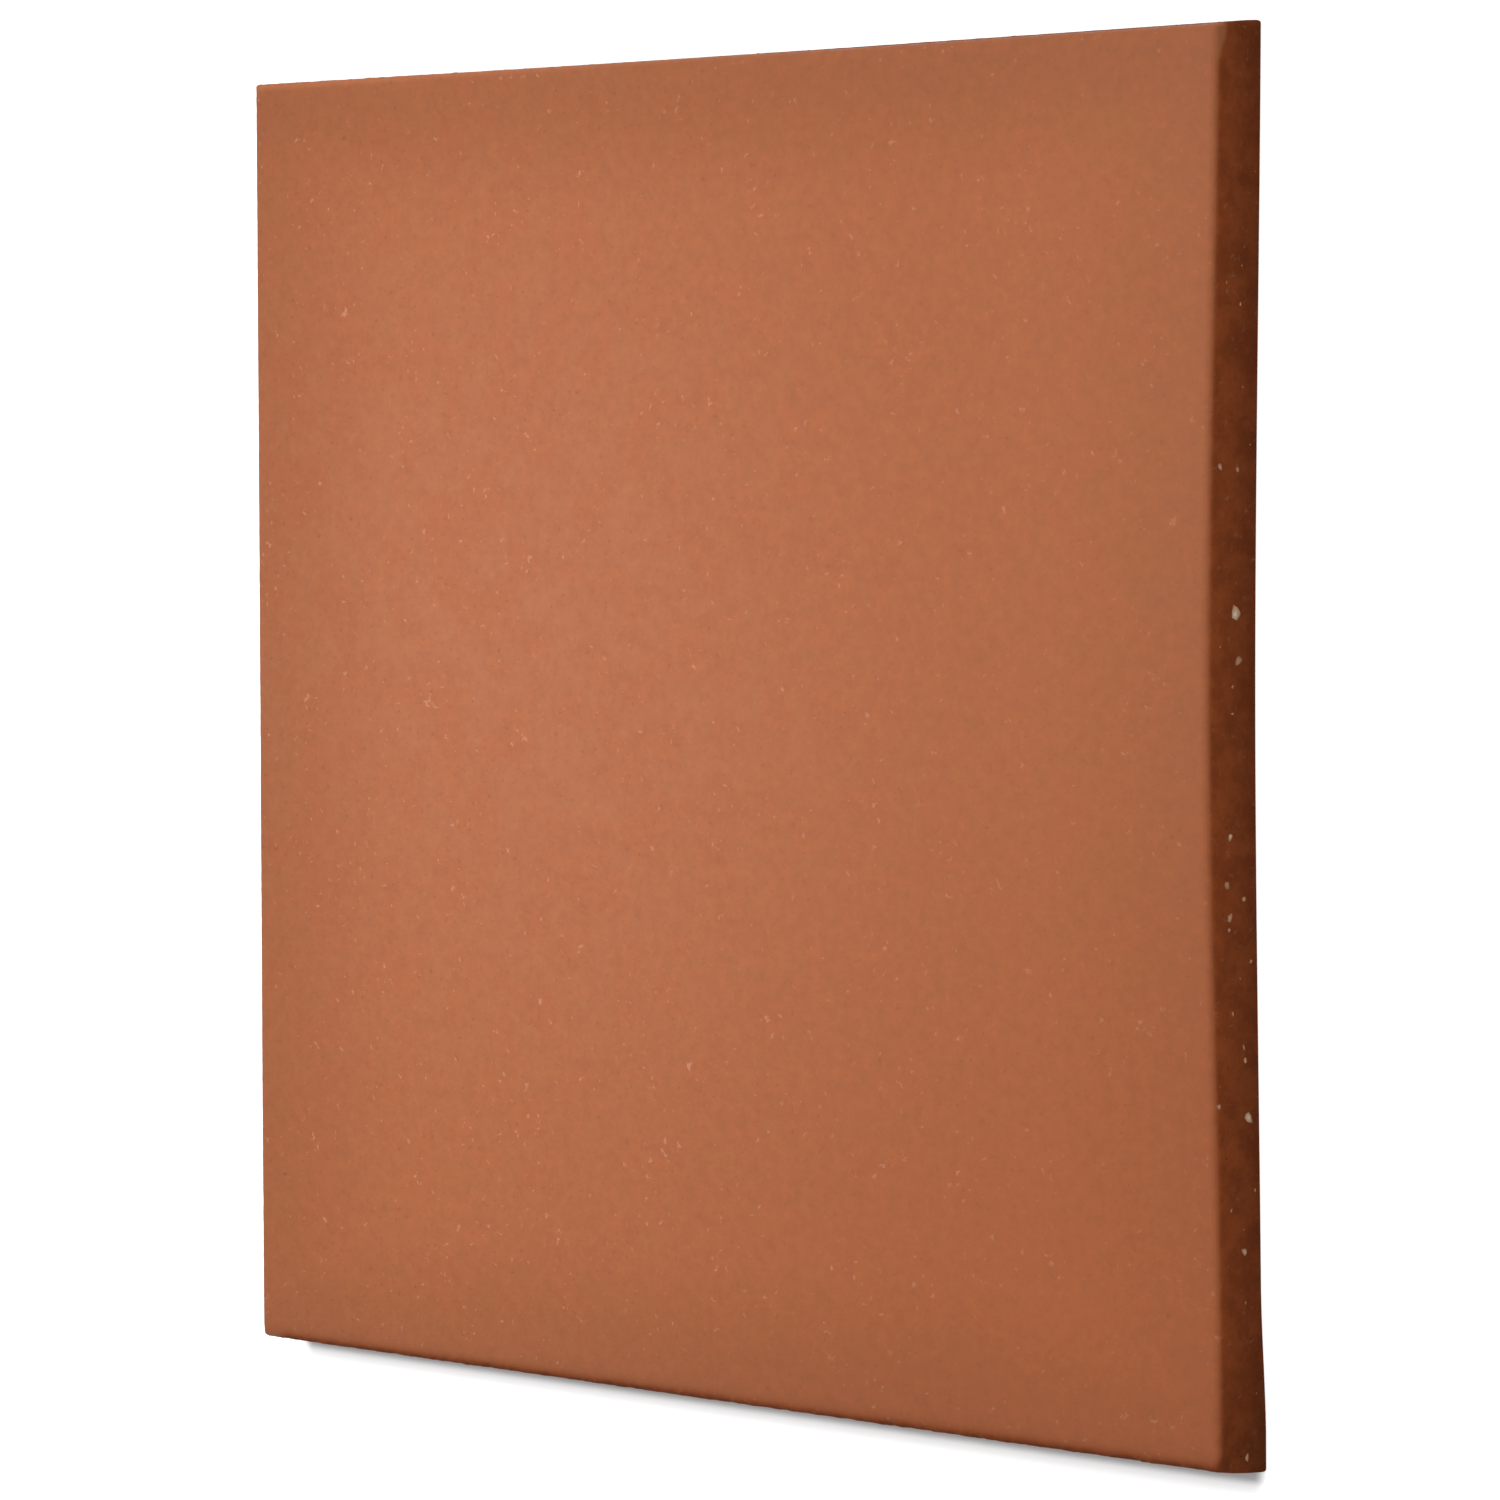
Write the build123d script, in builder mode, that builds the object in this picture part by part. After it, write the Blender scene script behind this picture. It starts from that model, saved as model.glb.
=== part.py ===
from build123d import *
import os

# Extruded floor tile of fired clay, lying on its keyed back with the smooth face up
# The origin is the middle of the bedding plane, Y is the way the clay left the die,
# and +X is the side that drew in as the tile dried.

# Body
tile_size = 240.0
tile_thickness = 11.0

# The sides stand upright at the back and round in towards a smaller face
waist_height = 5.0
waist_inset_at_ends = 0.3
waist_inset_at_sides = 0.15
face_inset_at_ends = 1.2
face_inset_at_sides = 0.5

# Hollow of the +X side, at the back and at the face
back_hollow = 1.7
face_hollow = 2.2
hollow_place = 8.0

# Heel that the cutting wire dragged out at the back of the -Y end of that side
heel_flare = 0.9
heel_length = 30.0
heel_neck = 0.7

# Rounded corners and arrises
arris_radius = 1.3
bedding_arris_radius = 0.4

# Dovetail keys along the back
key_mouth = 8.0
key_root = 9.6
key_depth = 1.6
key_root_radius = 0.5
key_pitch = 22.0
edge_land = 14.0

# Keys come in pairs beside a middle land, as many as fit between the edge lands
key_room = tile_size / 2 - edge_land - key_root / 2 + key_pitch / 2
key_count = 2 * int(key_room // key_pitch)

# Each outline: height, inset of the ends, inset of the sides, hollow, flare and neck of the heel
waist_hollow = (back_hollow + face_hollow) / 2
outlines = (
    (0, 0, 0, back_hollow, heel_flare, heel_neck),
    (waist_height, waist_inset_at_ends, waist_inset_at_sides, waist_hollow, heel_flare / 2, heel_neck / 2),
    (tile_thickness, face_inset_at_ends, face_inset_at_sides, face_hollow, 0, 0),
)

with BuildPart() as floor_tile:
    # Outlines of the back, of the waist and of the face, joined by smooth sides
    for height, end_inset, side_inset, hollow, flare, neck in outlines:
        with BuildSketch(Plane.XY.offset(height)):
            with BuildLine():
                end = tile_size / 2 - end_inset
                left = tile_size / 2 - side_inset
                right = left - heel_flare
                Polyline((right, end), (-left, end), (-left, -end), (right + flare, -end))
                Spline(
                    (right + flare, -end),
                    (right - neck, heel_length - end),
                    (right - hollow, hollow_place),
                    (right, end),
                )
            make_face()
    loft()

    # One radius rounds the upright corners and the arris of the face, a smaller one that of the back
    uprights = floor_tile.edges().filter_by(lambda edge: edge.bounding_box().size.Z > waist_height)
    fillet(uprights + floor_tile.faces().sort_by(Axis.Z)[-1].edges(), arris_radius)
    fillet(floor_tile.faces().sort_by(Axis.Z)[0].edges(), bedding_arris_radius)

    # The die's teeth leave the keys, which run through both cut ends
    with BuildSketch(Plane.XZ) as keys:
        with GridLocations(key_pitch, 0, key_count, 1):
            Polygon(
                (-key_mouth / 2, 0),
                (key_mouth / 2, 0),
                (key_root / 2, key_depth),
                (-key_root / 2, key_depth),
                align=None,
            )
        fillet(keys.vertices().group_by(Axis.Y)[-1], key_root_radius)
    extrude(amount=tile_size, both=True, mode=Mode.SUBTRACT)

floor_tile.part.label = "floor_tile"

os.makedirs("parts", exist_ok=True)
export_step(floor_tile.part, "parts/floor_tile.step")
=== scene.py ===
import math
import random

import bmesh
import bpy
from mathutils import Matrix, Vector


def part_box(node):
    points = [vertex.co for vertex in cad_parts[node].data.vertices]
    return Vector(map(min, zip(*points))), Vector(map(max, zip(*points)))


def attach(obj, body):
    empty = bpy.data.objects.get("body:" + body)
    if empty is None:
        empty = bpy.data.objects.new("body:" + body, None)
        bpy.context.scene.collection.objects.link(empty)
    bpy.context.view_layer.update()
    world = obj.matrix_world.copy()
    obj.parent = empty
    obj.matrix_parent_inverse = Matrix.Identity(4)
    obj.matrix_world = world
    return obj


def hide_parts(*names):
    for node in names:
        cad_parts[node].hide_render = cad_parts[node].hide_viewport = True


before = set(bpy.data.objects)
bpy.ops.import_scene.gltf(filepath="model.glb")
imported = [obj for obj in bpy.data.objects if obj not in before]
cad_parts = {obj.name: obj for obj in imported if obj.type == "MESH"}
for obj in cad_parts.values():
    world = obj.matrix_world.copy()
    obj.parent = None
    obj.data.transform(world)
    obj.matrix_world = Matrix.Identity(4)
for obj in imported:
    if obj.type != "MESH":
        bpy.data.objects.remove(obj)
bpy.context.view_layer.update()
scene = bpy.context.scene
millimetre = 0.001


# Tile body
# One slab of red-brown clay, pushed out of a die, cut off by a wire, dried and fired without glaze.
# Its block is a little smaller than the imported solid, which leaves room for the grain of the clay.
slab_low, slab_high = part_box("floor_tile")
grain_room = 0.12 * millimetre
thickness = slab_high.z
reach = slab_high.y - grain_room

heel_flare = 0.9 * millimetre
heel_length = 30 * millimetre
back_hollow = 1.33 * millimetre
face_hollow = 2.45 * millimetre
hollow_place = 8 * millimetre
ends_rounding = 1.2 * millimetre
sides_rounding = 0.6 * millimetre
arris = 1.4 * millimetre
corner = 0.7 * millimetre
sharp_corner = 0.2 * millimetre
bedding_arris = 0.4 * millimetre
near_end_share = 0.88
right_side_share = 1.3

bpy.ops.object.select_all(action="DESELECT")
bpy.ops.mesh.primitive_cube_add(
    size=1,
    location=(-heel_flare / 2, 0, (thickness + slab_low.z - grain_room) / 2),
    scale=(2 * reach - heel_flare, 2 * reach, thickness - grain_room - slab_low.z),
)
bpy.ops.object.transform_apply(location=True, rotation=False, scale=True)
tile = bpy.context.object
tile.name = "fired_tile"
block_top = thickness - grain_room


def pick(kind, chosen):
    """Selects, in edit mode, the vertices, edges or faces for which chosen says yes."""
    bpy.ops.mesh.select_all(action="DESELECT")
    bpy.ops.mesh.select_mode(type=kind)
    mesh = bmesh.from_edit_mesh(bpy.context.object.data)
    parts = {"VERT": mesh.verts, "EDGE": mesh.edges, "FACE": mesh.faces}[kind]
    for part in parts:
        part.select_set(chosen(part))
    bmesh.update_edit_mesh(bpy.context.object.data)


def spans(axis, least):
    """Says yes to an edge that runs along that axis and is longer than least."""
    def chosen(edge):
        run = edge.verts[1].co - edge.verts[0].co
        return abs(run[axis]) > least and abs(run[axis]) > 0.99 * run.length
    return chosen


# Wide arris round the face, narrow ones at the upright corners and round the back
widths = tile.data.attributes.new("bevel_weight_edge", "FLOAT", "EDGE")
for edge in tile.data.edges:
    first, second = (tile.data.vertices[index].co for index in edge.vertices)
    if min(first.z, second.z) > thickness / 2:
        width = arris
    elif max(first.z, second.z) < thickness / 2:
        width = bedding_arris
    else:
        width = sharp_corner if first.x < 0 < first.y else corner
    widths.data[edge.index].value = width / arris
rounding = tile.modifiers.new("arrises", "BEVEL")
rounding.width = arris
rounding.segments = 4
rounding.limit_method = "WEIGHT"
bpy.ops.object.modifier_apply(modifier="arrises")

# Grid of 1.9 mm over the face, and of 0.6 mm round the sides and arrises
whole_edge = 100 * millimetre
cut_edge = 10 * millimetre
upright_edge = 5 * millimetre
bpy.ops.object.mode_set(mode="EDIT")
for axis in (0, 1):
    for cuts, least in ((15, whole_edge), (7, cut_edge)):
        pick("EDGE", spans(axis, least))
        bpy.ops.mesh.subdivide(number_cuts=cuts)
pick("EDGE", spans(2, upright_edge))
bpy.ops.mesh.subdivide(number_cuts=5)
pick(
    "FACE",
    lambda face: face.normal.z > -0.99
    and (face.normal.z < 0.999 or face.calc_center_median().z < block_top - 1e-5),
)
bpy.ops.mesh.subdivide(number_cuts=2)
bpy.ops.object.mode_set(mode="OBJECT")


def ramp(value, start, end):
    """Goes smoothly from 0 at start to 1 at end."""
    share = min(max((value - start) / (end - start), 0), 1)
    return share * share * (3 - 2 * share)


def push(name, weight, direction, strength, texture=None, middle=0):
    """Moves the tile's surface along direction by strength, as far as weight says at each place."""
    group = tile.vertex_groups.new(name=name)
    for vert in tile.data.vertices:
        share = weight(vert)
        if share > 0:
            group.add([vert.index], share, "REPLACE")
    mover = tile.modifiers.new(name, "DISPLACE")
    mover.vertex_group = name
    mover.direction = direction
    mover.strength = strength
    mover.mid_level = middle
    if texture:
        mover.texture = texture
        mover.texture_coords = "LOCAL"
    bpy.ops.object.modifier_apply(modifier=name)
    tile.vertex_groups.remove(tile.vertex_groups[name])


# The ends and sides round in towards the face, and the side at +X is hollow with a dragged heel
def rounded(vert, axis, sign):
    height = vert.co.z / thickness
    inward = sign * vert.co[axis] / reach
    return ramp(inward, 0.8, 0.99) * height * (0.3 + 0.7 * height)


def far_end(vert):
    return rounded(vert, 1, 1) * min(0.85 + 0.77 * vert.co.x / reach, 1.05)


def left_side(vert):
    return rounded(vert, 0, -1) * ramp(vert.co.y, -reach, reach)


def hollowed(vert):
    along = vert.co.y
    height = vert.co.z / thickness
    near = -reach + heel_length * 0.6 * height
    far = ramp(along, hollow_place, 1.17 * reach)
    share = 1 - far if along > hollow_place else ramp(along, near, hollow_place)
    deep = back_hollow + (face_hollow - back_hollow) * height
    return ramp(vert.co.x, -reach * 0.2, reach * 0.98) * share * deep / face_hollow


def at_heel(vert):
    height = 1 - vert.co.z / thickness
    along = 1 - (vert.co.y + reach) / heel_length
    return ramp(vert.co.x, reach * 0.7, reach * 0.98) * max(height, 0) * ramp(along, -0.05, 0.85)


push("round_far_end", far_end, "Y", -ends_rounding)
push("round_near_end", lambda vert: rounded(vert, 1, -1), "Y", near_end_share * ends_rounding)
push("round_left_side", left_side, "X", sides_rounding)
push("round_right_side", lambda vert: rounded(vert, 0, 1), "X", -right_side_share * sides_rounding)
push("hollow_side", hollowed, "X", -face_hollow)
push("heel", at_heel, "X", heel_flare)

# Relief of the fired clay: a slow wave over the face, a torn grain down the sides, nibbled arrises
wave_height = 0.14 * millimetre
torn_height = 0.12 * millimetre
nibble_depth = 0.18 * millimetre
torn_start = 0.3 * millimetre
torn_full = 1.2 * millimetre
end_strip = 4 * millimetre
face_wave = bpy.data.textures.new("face_wave", "CLOUDS")
face_wave.noise_scale = 35 * millimetre
face_wave.noise_depth = 1
torn_grain = bpy.data.textures.new("torn_grain", "CLOUDS")
torn_grain.noise_scale = 2.2 * millimetre
torn_grain.noise_depth = 3
nibbles = bpy.data.textures.new("nibbles", "CLOUDS")
nibbles.noise_scale = 1.8 * millimetre
nibbles.noise_depth = 2
nibbles.intensity = 0.45
nibbles.contrast = 2


def on_face(vert):
    return ramp(vert.co.z, block_top - arris, block_top)


def below_face(vert):
    above_bed = ramp(vert.co.z, torn_start, torn_full)
    return above_bed * (1 - ramp(vert.co.z, block_top - arris, block_top - arris * 0.2))


def on_arris(vert):
    """The cut ends broke away more than the sides that the die drew smooth."""
    depth = (block_top - vert.co.z) / arris
    at_end = ramp(abs(vert.co.y), reach - end_strip, reach - end_strip / 2)
    return ramp(depth, 0, 0.3) * (1 - ramp(depth, 0.7, 1.6)) * (0.3 + 0.7 * at_end)


push("face_wave", on_face, "Z", wave_height, face_wave, 0.5)
push("torn_grain", below_face, "NORMAL", torn_height, torn_grain, 0.5)
push("nibbles", on_arris, "NORMAL", -nibble_depth, nibbles)

# Dovetail keys across the back, in pairs beside a middle land
key_mouth = 8 * millimetre
key_root = 9.6 * millimetre
key_depth = 1.6 * millimetre
key_pitch = 22 * millimetre
key_count = 10
cutter_length = 2.2 * reach
sharp_above = math.radians(35)

bpy.ops.object.select_all(action="DESELECT")
bpy.ops.mesh.primitive_cube_add(
    size=1,
    location=(-key_pitch * (key_count - 1) / 2, 0, 0),
    scale=(key_mouth, cutter_length, 2 * key_depth),
)
bpy.ops.object.transform_apply(location=True, rotation=False, scale=True)
keys = bpy.context.object
bpy.ops.object.mode_set(mode="EDIT")
pick("FACE", lambda face: face.normal.z > 0.9)
bpy.ops.transform.resize(value=(key_root / key_mouth, 1, 1))
bpy.ops.object.mode_set(mode="OBJECT")
row = keys.modifiers.new("row", "ARRAY")
row.count = key_count
row.use_relative_offset = False
row.use_constant_offset = True
row.constant_offset_displace = (key_pitch, 0, 0)
bpy.ops.object.modifier_apply(modifier="row")

bpy.context.view_layer.objects.active = tile
cut = tile.modifiers.new("keys", "BOOLEAN")
cut.operation = "DIFFERENCE"
cut.solver = "EXACT"
cut.object = keys
bpy.ops.object.modifier_apply(modifier="keys")
bpy.data.objects.remove(keys)

bpy.ops.object.select_all(action="DESELECT")
tile.select_set(True)
bpy.ops.object.shade_smooth_by_angle(angle=sharp_above)
print("tile triangles", sum(len(face.vertices) - 2 for face in tile.data.polygons))


# Fired clay
# The unglazed body burnt to a warm red-brown. The face has a fine closed skin with pale flecks, partly
# grains and partly painted glints, and the sides and the back are darker, partly by painted shade, and
# torn, with crumbs of paler clay and a few small pits.
clay = bpy.data.materials.new("fired_clay")
clay.use_nodes = True
closed_skin = clay.node_tree.nodes["Principled BSDF"]
torn_skin = clay.node_tree.nodes.new("ShaderNodeBsdfPrincipled")
closed_skin.inputs["Specular IOR Level"].default_value = 0.27
torn_skin.inputs["Specular IOR Level"].default_value = 0.1


class Field:
    """A shader socket that can be written in sums, as numbers are."""

    def __init__(self, tree, socket=None):
        self.tree = tree
        self.socket = socket

    def node(self, kind, settings, sockets, output=0):
        """Adds a node: its settings come first, then the values or links of its sockets."""
        added = self.tree.nodes.new(kind)
        for name, value in settings.items():
            setattr(added, name, value)
        for name, value in sockets.items():
            if isinstance(value, Field):
                self.tree.links.new(value.socket, added.inputs[name])
            else:
                added.inputs[name].default_value = value
        return Field(self.tree, added.outputs[output])

    def maths(self, operation, *values):
        return self.node("ShaderNodeMath", {"operation": operation}, dict(enumerate(values)))

    def __add__(self, other):
        return self.maths("ADD", self, other)

    def __sub__(self, other):
        return self.maths("SUBTRACT", self, other)

    def __rsub__(self, other):
        return self.maths("SUBTRACT", other, self)

    def __mul__(self, other):
        return self.maths("MULTIPLY", self, other)

    def __lt__(self, other):
        return self.maths("LESS_THAN", self, other)

    def __abs__(self):
        return self.maths("ABSOLUTE", self)

    __radd__ = __add__
    __rmul__ = __mul__

    def or_more(self, other):
        """The larger of the two values."""
        return self.maths("MAXIMUM", self, other)

    def rise(self, start, end):
        """Goes smoothly from 0 at start to 1 at end."""
        limits = {"Value": self, "From Min": start, "From Max": end}
        return self.node("ShaderNodeMapRange", {"interpolation_type": "SMOOTHSTEP"}, limits)

    def mixed(self, amount, first, second, how="MIX"):
        """The first colour with the second laid over it."""
        settings = {"data_type": "RGBA", "blend_type": how}
        return self.node("ShaderNodeMix", settings, {0: amount, 6: first, 7: second}, 2)

    def tint(self, amount, colour):
        """This colour with another laid over it."""
        return self.mixed(amount, self, colour)

    def shaded(self, amount):
        """This colour made darker or lighter by that amount."""
        grey = self.node("ShaderNodeCombineColor", {}, {0: amount, 1: amount, 2: amount})
        return self.mixed(1.0, self, grey, "MULTIPLY")

    def bump(self):
        """A normal that stands for this relief, in millimetres."""
        return self.node("ShaderNodeBump", {}, {"Distance": millimetre, "Height": self})

    def noise(self, grain, detail=2, roughness=0.5, distortion=0):
        """Soft noise whose grain is that many units of this vector wide."""
        shape = {"Detail": detail, "Roughness": roughness, "Distortion": distortion}
        return self.node("ShaderNodeTexNoise", {}, {"Vector": self, "Scale": 1 / grain, **shape})

    def output(self, name):
        """Another output of the node that this value comes from."""
        return Field(self.tree, self.socket.node.outputs[name])

    def feeds(self, node, name):
        """Links this value to that input of a node."""
        self.tree.links.new(self.socket, node.inputs[name])


ink = Field(clay.node_tree)
coordinates = ink.node("ShaderNodeTexCoord", {}, {}, "Object")
place = coordinates.node("ShaderNodeVectorMath", {"operation": "SCALE"}, {0: coordinates, "Scale": 1000})
off_east = place.node("ShaderNodeSeparateXYZ", {}, {"Vector": place})
height = off_east.output("Z")
off_middle_x = abs(off_east)
northward = off_east.output("Y")
southward = 0 - northward
westward = 0 - off_east
off_middle_y = abs(northward)

# Closed skin of the face, with a painted pool of lamp light at its heart and painted shade towards its
# edges and its near corner at +X (lengths in millimetres)
clay_in_painted_light = (0.49, 0.17, 0.077, 1)
clay_out_of_painted_light = (0.445, 0.139, 0.05, 1)
face_rust = (0.475, 0.135, 0.051, 1)
painted_corner_shade = (0.447, 0.121, 0.038, 1)
pale_dust_and_glint = (0.78, 0.42, 0.27, 1)
painted_light_centre = (-50, 20, 11)

from_painted_light = place.node("ShaderNodeVectorMath", {"operation": "DISTANCE"}, {0: place, 1: painted_light_centre}, "Value")
patches = place.noise(9, 3, 0.6)
stipple = place.noise(2.6, 2, 0.7)
grit = place.noise(1, 2, 0.6, 0.3)
flakes = place.noise(1.5, 2, 0.6, 0.4)
finer = 1 - 0.45 * off_east.rise(-90, 110)
# Pale flecks: partly grains of the clay, partly painted glints.
flecks_and_glints = (flakes + 0.3 * patches).rise(0.81, 0.93) * finer
# Dimples are small hollows of the skin; the colour is darkened in them as painted shade.
dimples = grit.rise(0.35, 0.24)
# Painted light: the face colour is paler round a centre near the lamp and darker away from it.
skin = ink.mixed(from_painted_light.rise(0, 130), clay_in_painted_light, clay_out_of_painted_light)
skin = skin.tint(0.48 * patches.rise(0.35, 0.65), face_rust)
# Painted shade: the face colour darkens towards the near corner at +X.
skin = skin.tint(0.8 * (off_east + southward).rise(60, 210), painted_corner_shade)
skin = skin.tint(flecks_and_glints * 0.42, pale_dust_and_glint)
near_side = off_middle_x.rise(72, 126)
near_end = off_middle_y.rise(90, 116)
# Painted shade and light: the face colour darkens towards its four edges and more on the near end arris,
# lightens on the far end arris and towards +X, and darkens a little towards the near corner at +X.
painted_shading = 1 - 0.15 * near_side.or_more(near_end) - 0.06 * near_side * near_end
painted_shading = painted_shading - 0.1 * southward.rise(113, 120) + 0.3 * northward.rise(118, 119.5)
painted_shading = painted_shading + 0.06 * off_east.rise(55, 115)
painted_shading = painted_shading * (1 - 0.07 * (off_east + southward).rise(0, 170))
skin = skin.shaded(painted_shading * (0.775 + 0.31 * stipple + finer * (0.14 * grit - 0.16 * dimples)))
skin_relief = (0.06 * stipple + finer * (0.06 * grit + 0.04 * flecks_and_glints - 0.04 * dimples)).bump()
skin_roughness = 0.6 + 0.15 * stipple

# Torn skin of the sides and the back, with painted shade darker towards the back and towards the near end
side_clay = (0.35, 0.08, 0.0205, 1)
side_dark = (0.265, 0.058, 0.0145, 1)
side_dust = (0.52, 0.2, 0.1, 1)
pit_shade = (0.12, 0.026, 0.008, 1)

mottle = place.noise(5, 3, 0.6)
crumble = place.noise(1.7, 2, 0.6, 0.3)
crumbs = crumble.rise(0.6, 0.78)
pits = crumble.rise(0.28, 0.2)
torn = ink.mixed(mottle.rise(0.35, 0.65), side_clay, side_dark)
torn = torn.tint(pits * 0.6, pit_shade)
torn = torn.tint(crumbs * 0.4, side_dust)
# Painted shade: the torn skin darkens towards the floor and towards the near end.
painted_side_shade = (0.58 + 0.42 * height.rise(-2, 12)) * (1 - 0.3 * southward.rise(90, 119))
torn = torn.shaded(painted_side_shade * (0.84 + 0.32 * grit))
torn_relief = (0.25 * mottle + 0.12 * crumbs + 0.1 * grit - 0.2 * pits).bump()
torn_roughness = 0.78 + 0.12 * mottle

skin.feeds(closed_skin, "Base Color")
skin_roughness.feeds(closed_skin, "Roughness")
skin_relief.feeds(closed_skin, "Normal")
torn.feeds(torn_skin, "Base Color")
torn_roughness.feeds(torn_skin, "Roughness")
torn_relief.feeds(torn_skin, "Normal")
closed = Field(clay.node_tree, closed_skin.outputs["BSDF"])
open_side = Field(clay.node_tree, torn_skin.outputs["BSDF"])
drawn_over = 1.6 * northward.rise(112, 118) + 1.2 * westward.rise(112, 118)
# At the near end the darker torn skin is drawn up over the arris as painted shade.
closing = (height + drawn_over - 0.9 * southward.rise(115.5, 118.5)).rise(9.3, 10.7)
whole = ink.node("ShaderNodeMixShader", {}, {0: closing, 1: open_side, 2: closed})
clay_output = clay.node_tree.nodes["Material Output"]
whole.feeds(clay_output, "Surface")
tile.data.materials.clear()
tile.data.materials.append(clay)

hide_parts("floor_tile")
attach(tile, "root")


# Grog grains
# Crushed pale grains, mixed into the clay to open its body. Where the die and the wire tore the sides
# they lie open, nearly flush: the larger ones of the side at +X at their own places, the rest strewn.
grain_half = 0.25 * millimetre
grain_proud = 0.05 * millimetre
grain_cover = 0.6
grain_unevenness = 0.22
grain_lean = 0.5
core_start = 0.75
chance = random.Random(11)

bpy.ops.object.select_all(action="DESELECT")
bpy.ops.mesh.primitive_ico_sphere_add(subdivisions=2, radius=1)
pattern_grain = bpy.context.object


def set_grain(outward, along, height, length, width, paleness):
    """Sinks a grain of that visible length and width, in millimetres, into the side facing outward."""
    sideways = Vector((0, 0, 1)).cross(outward)
    start = 2 * reach * outward + (along * sideways + height * Vector((0, 0, 1))) * millimetre
    spot, normal = tile.ray_cast(start, -outward)[1:3]
    grain = pattern_grain.copy()
    grain.data = pattern_grain.data.copy()
    scene.collection.objects.link(grain)
    shade = grain.data.attributes.new("paleness", "FLOAT", "POINT")
    for vert, point in zip(grain.data.vertices, shade.data):
        point.value = paleness * max(vert.co.z - core_start, 0) / (1 - core_start)
        vert.co *= 1 + chance.uniform(-grain_unevenness, grain_unevenness)
    level = Vector((0, 0, 1)).cross(normal).normalized()
    seat = Matrix((level, normal.cross(level), normal)).transposed().to_4x4()
    size = Matrix.Diagonal((
        length * millimetre / 2 / grain_cover,
        width * millimetre / 2 / grain_cover,
        grain_half,
        1,
    ))
    lean = Matrix.Rotation(chance.uniform(-grain_lean, grain_lean), 4, "Z")
    middle = Matrix.Translation(spot - normal * (grain_half - grain_proud))
    grain.data.transform(middle @ seat @ lean @ size)
    return grain


# Place along the side and height on it, length and width, and paleness of the grains at +X
placed_grains = (
    (22.4, 4.7, 2.3, 2, 1),
    (14.6, 4, 1.4, 1.4, 0.35),
    (10.5, 5.2, 0.8, 0.6, 0.25),
    (46.6, 8.2, 1, 0.8, 0.45),
    (46.1, 4.4, 0.9, 0.8, 0.4),
    (-14.1, 5.9, 1.5, 1.1, 0.8),
    (-22.2, 6.6, 1.1, 1.3, 0.3),
    (-24.7, 3, 1, 0.8, 0.5),
    (-27.7, 6.2, 1.6, 1.2, 0.4),
    (-35.1, 1.6, 1, 0.8, 0.35),
    (-43.4, 5.9, 0.9, 0.5, 0.55),
    (-49.2, 3.6, 1, 0.4, 0.5),
    (-51.4, 3.2, 1.7, 0.9, 0.6),
    (-58.5, 9.4, 0.8, 0.7, 0.6),
    (-60.8, 2.8, 1.7, 1.6, 0.95),
    (-72.9, 1.4, 0.9, 0.6, 0.4),
    (-82.9, 4.2, 1.2, 1, 0.6),
    (-117, 4.6, 1.3, 1.1, 0.5),
)
grains = [set_grain(Vector((1, 0, 0)), *numbers) for numbers in placed_grains]

# Side, number of strewn grains on it, and how much the largest is longer than the smallest
strewn_grains = (
    (Vector((1, 0, 0)), 14, 0.6),
    (Vector((-1, 0, 0)), 30, 2),
    (Vector((0, 1, 0)), 30, 2),
    (Vector((0, -1, 0)), 30, 2),
)
smallest_grain = 0.4
strewn_reach = 116
lowest_strewn = 0.6
highest_strewn = 9.6
for outward, count, growth in strewn_grains:
    for _ in range(count):
        share = chance.random() ** 4
        length = smallest_grain + growth * share
        along = chance.uniform(-strewn_reach, strewn_reach)
        height_up = chance.uniform(lowest_strewn + 0.9 * length, highest_strewn - 0.8 * length)
        width = length * chance.uniform(0.6, 1)
        grains.append(set_grain(outward, along, height_up, length, width, 0.3 + 0.5 * share))
bpy.data.objects.remove(pattern_grain)
bpy.ops.object.select_all(action="DESELECT")
for grain in grains:
    grain.select_set(True)
bpy.context.view_layer.objects.active = grains[0]
bpy.ops.object.join()
grog = bpy.context.object
grog.name = "grog_grains"
bpy.ops.object.shade_smooth()

grain_stuff = bpy.data.materials.new("pale_grog")
grain_stuff.use_nodes = True
grain_shader = grain_stuff.node_tree.nodes["Principled BSDF"]
grain_shader.inputs["Specular IOR Level"].default_value = 0.1
dusty_grain = (0.36, 0.13, 0.06, 1)
pale_grain = (0.97, 0.74, 0.52, 1)
ink = Field(grain_stuff.node_tree)
coordinates = ink.node("ShaderNodeTexCoord", {}, {}, "Object")
place = coordinates.node("ShaderNodeVectorMath", {"operation": "SCALE"}, {0: coordinates, "Scale": 1000})
paleness = ink.node("ShaderNodeAttribute", {"attribute_name": "paleness"}, {}, "Fac")
speckle = place.noise(0.7, 2, 0.6)
grain_colour = ink.mixed(paleness, dusty_grain, pale_grain).shaded(0.6 + 0.8 * speckle)
grain_relief = (0.1 * speckle).bump()
grain_roughness = 0.8 + 0.15 * speckle
grain_colour.feeds(grain_shader, "Base Color")
grain_roughness.feeds(grain_shader, "Roughness")
grain_relief.feeds(grain_shader, "Normal")
grog.data.materials.clear()
grog.data.materials.append(grain_stuff)
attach(grog, "root")


# Floor
# A plain pale studio ground. It glows white far off, has painted light along the tile's sides that covers
# their shadow, and takes the shadow at the near end, deepened there by a painted shadow strip at the foot.
# It is open under the tile and from below, so that the tile's back can be looked at.
floor_size = 12
hidden_reach = 0.11
footprint = 0.1195
touching_gap = 0.3 * millimetre

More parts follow.
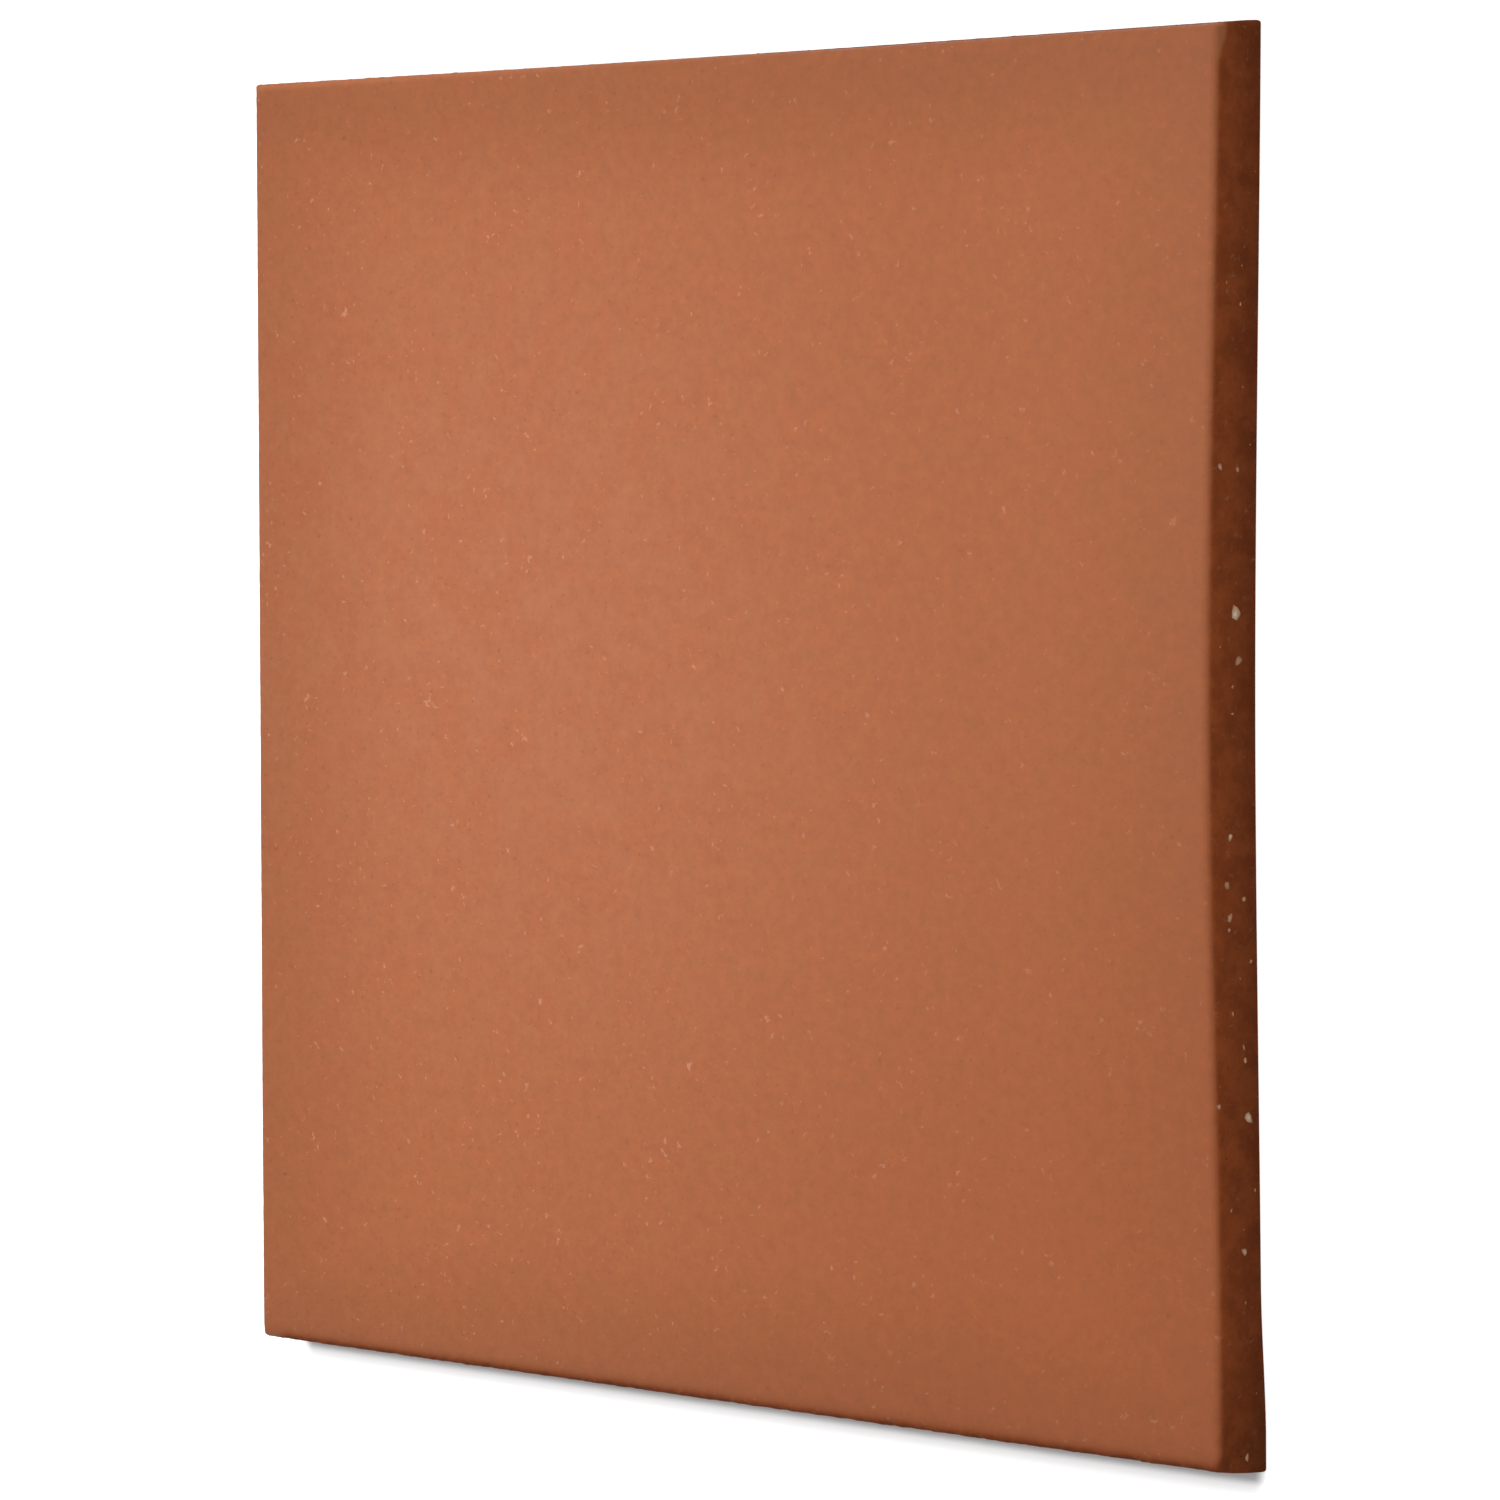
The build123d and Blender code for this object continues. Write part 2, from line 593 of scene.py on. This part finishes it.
bpy.ops.object.select_all(action="DESELECT")
bpy.ops.mesh.primitive_plane_add(size=floor_size, location=(0, 0, slab_low.z))
floor = bpy.context.object
floor.name = "studio_floor"
ground = bpy.data.materials.new("studio_ground")
ground.use_nodes = True
ink = Field(ground.node_tree)
path = ink.node("ShaderNodeLightPath", {}, {}, "Is Camera Ray")
seen = path + path.output("Is Glossy Ray") + path.output("Is Transmission Ray")
dim = ink.node("ShaderNodeBsdfDiffuse", {}, {"Color": (0.15, 0.15, 0.15, 1)})
paper = ink.node("ShaderNodeBsdfDiffuse", {}, {"Color": (0.95, 0.95, 0.95, 1)})
spot = ink.node("ShaderNodeTexCoord", {}, {}, "Object")
over_ground = spot.node("ShaderNodeSeparateXYZ", {}, {"Vector": spot})

# Glow of the ground by place, in metres: less of it in a strip at the tile's near end, at 0.12 to the
# south, as painted shadow; more beside the tile and past the foot, as painted light; and more far off
along_ground = over_ground.output("Y")
beside_tile = abs(over_ground).rise(0.117, 0.1205)
painted_shadow_strip = along_ground.rise(-0.1228, -0.1212) * along_ground.rise(-0.119, -0.12) * (1 - beside_tile)
painted_light_beside_tile = beside_tile.or_more(along_ground.rise(-0.122, -0.105))
from_tile = spot.node("ShaderNodeVectorMath", {"operation": "LENGTH"}, {0: spot}, "Value")
painted_light_past_foot = along_ground.rise(-0.1225, -0.126)
glow_with_painted_light_and_shadow = 0.3 * (1 - painted_shadow_strip) + 0.38 * painted_light_beside_tile + 0.2 * painted_light_past_foot + 0.4 * from_tile.rise(0.16, 0.4)
glow = ink.node("ShaderNodeEmission", {}, {"Color": (1, 1, 1, 1), "Strength": glow_with_painted_light_and_shadow})
bright = ink.node("ShaderNodeAddShader", {}, {0: paper, 1: glow})
shown = ink.node("ShaderNodeMixShader", {}, {0: seen, 1: dim, 2: bright})

# Opening under the tile, and at its rim only for light that starts from the touching back
off_middle = abs(over_ground).or_more(abs(along_ground))
under_tile = off_middle < hidden_reach
under_rim = (off_middle < footprint) * (path.output("Ray Length") < touching_gap)
from_below = ink.node("ShaderNodeNewGeometry", {}, {}, "Backfacing")
opened = from_below.or_more(under_tile.or_more(under_rim))
clear = ink.node("ShaderNodeBsdfTransparent", {}, {})
lying = ink.node("ShaderNodeMixShader", {}, {0: opened, 1: shown, 2: clear})
ground_output = ground.node_tree.nodes["Material Output"]
lying.feeds(ground_output, "Surface")
floor.data.materials.append(ground)


# Light
# A soft lamp hangs over the left half of the tile, in a room that is lit more from +X and +Y and is
# seen as white.
lamp_place = Vector((-0.07, 0.04, 0.45))
lamp = bpy.data.lights.new("softbox", "AREA")
lamp.shape = "SQUARE"
lamp.size = 0.12
lamp.energy = 0.8
softbox = bpy.data.objects.new("softbox", lamp)
softbox.location = lamp_place
softbox.visible_camera = False
scene.collection.objects.link(softbox)

room = bpy.data.worlds.new("room")
room.use_nodes = True
ink = Field(room.node_tree)
path = ink.node("ShaderNodeLightPath", {}, {}, "Is Camera Ray")
seen = path + path.output("Is Glossy Ray") + path.output("Is Transmission Ray")
toward = ink.node("ShaderNodeTexCoord", {}, {}, "Generated")
to_east = toward.node("ShaderNodeSeparateXYZ", {}, {"Vector": toward})
light = 0.15 + 0.3 * to_east.rise(-1, 1) + 0.6 * to_east.output("Y").rise(-1, 1)
strength = seen + (1 - seen) * light
backdrop = room.node_tree.nodes["Background"]
backdrop.inputs["Color"].default_value = (1, 1, 1, 1)
strength.feeds(backdrop, "Strength")
scene.world = room
scene.view_settings.view_transform = "Standard"


# Camera
# It looks down on the lying tile from past its +X side, turned so that +Y is up in the picture.
azimuth = math.radians(44.25)
tilt = math.radians(2.65)
roll = math.radians(-0.25)
distance = 1.083
aim = Vector((0.01165, -0.0028, thickness))
focal_pixels = 6160
frame_pixels = 1500

back = Vector((math.sin(azimuth) * math.cos(tilt), math.sin(tilt), math.cos(azimuth) * math.cos(tilt)))
across = Vector((0, 1, 0)).cross(back).normalized()
upward = back.cross(across)
turned = Matrix((across, upward, back)).transposed() @ Matrix.Rotation(roll, 3, "Z")

view = bpy.data.cameras.new("camera")
view.sensor_width = 36
view.lens = view.sensor_width * focal_pixels / frame_pixels
camera = bpy.data.objects.new("camera", view)
camera.matrix_world = Matrix.Translation(aim + distance * back) @ turned.to_4x4()
scene.collection.objects.link(camera)
scene.camera = camera
